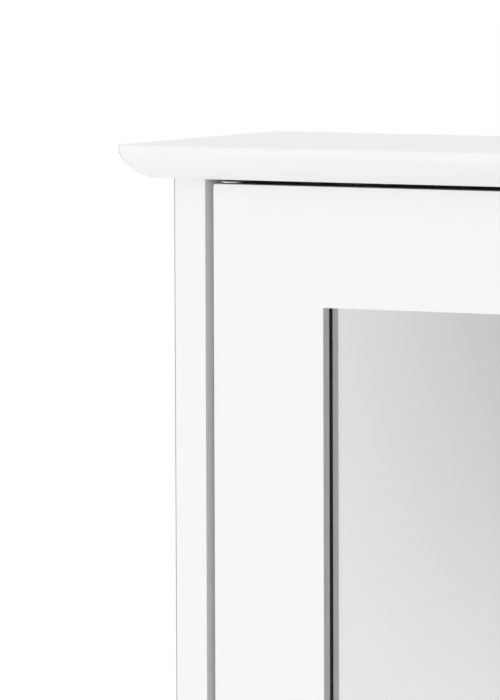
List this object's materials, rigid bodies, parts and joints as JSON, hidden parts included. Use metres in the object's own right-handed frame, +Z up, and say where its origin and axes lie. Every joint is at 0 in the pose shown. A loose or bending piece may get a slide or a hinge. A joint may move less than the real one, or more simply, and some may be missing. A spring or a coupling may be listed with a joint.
{
  "type": "mirrored wall cabinet",
  "caption": "White wall cabinet with a moulded top and bottom board and an inset mirrored door on pin pivots, with glass shelves inside.",
  "frame": {"origin": "on the wall plane, midway between the two upper wall screws", "axes": "+X to the right seen from the front, +Y into the wall, +Z up; the front faces -Y"},
  "size_m": [0.63, 0.164, 0.98],
  "materials": {
    "white_paint": "white satin paint on fibreboard",
    "knob_paint": "white satin paint on turned beech",
    "back_lining": "white printed foil on hardboard",
    "hardboard": "bare brown hardboard",
    "beech": "bare beech",
    "zinc_plate": "bright zinc plate on steel",
    "zinc_casting": "die-cast zinc",
    "bright_steel": "nickel plate on turned steel",
    "nylon": "natural nylon",
    "catch_plastic": "white moulded plastic",
    "ferrite": "bare sintered ferrite",
    "shelf_glass": "clear toughened glass, ground edges",
    "mirror": "silvered float glass",
    "safety_film": "grey safety film",
    "foam_tape": "white foam tape",
    "clear_pad": "clear soft plastic"
  },
  "bodies": {
    "carcass": {"top_board": "white_paint", "bottom_board": "white_paint", "left_side": "white_paint", "right_side": "white_paint", "back_panel": "back_lining", "back_panel_screws": "zinc_plate", "cam_locks": "zinc_casting", "cam_bolts": "zinc_plate", "carcass_dowels": "beech", "upper_shelf": "shelf_glass", "middle_shelf": "shelf_glass", "lower_shelf": "shelf_glass", "shelf_pins": "zinc_plate", "shelf_pads": "clear_pad", "upper_right_bracket": "zinc_plate", "upper_left_bracket": "zinc_plate", "lower_right_bracket": "zinc_plate", "lower_left_bracket": "zinc_plate", "bracket_screws": "zinc_plate", "upper_pivot_bush": "nylon", "lower_pivot_bush": "nylon", "upper_catch_housing": "catch_plastic", "lower_catch_housing": "catch_plastic", "upper_catch_magnet": "ferrite", "lower_catch_magnet": "ferrite", "upper_catch_poles": "zinc_plate", "lower_catch_poles": "zinc_plate", "catch_screws": "zinc_plate"},
    "door": {"left_stile": "white_paint", "right_stile": "white_paint", "top_rail": "white_paint", "bottom_rail": "white_paint", "frame_dowels": "beech", "mirror_glass": "mirror", "mirror_film": "safety_film", "mirror_tape": "foam_tape", "backing_board": "hardboard", "setting_blocks": "nylon", "left_bead": "white_paint", "right_bead": "white_paint", "top_bead": "white_paint", "bottom_bead": "white_paint", "bead_pins": "zinc_plate", "upper_pivot_pin": "bright_steel", "lower_pivot_pin": "bright_steel", "strike_plates": "zinc_plate", "strike_screws": "zinc_plate", "knob": "knob_paint", "knob_screw": "zinc_plate"}
  },
  "joints": [
    {"name": "door_hinge", "type": "hinge", "parent": "carcass", "child": "door", "pos_m": [-0.2655, -0.131, -0.413], "axis": [0, 0, -1], "range_deg": [0, 100]}
  ]
}
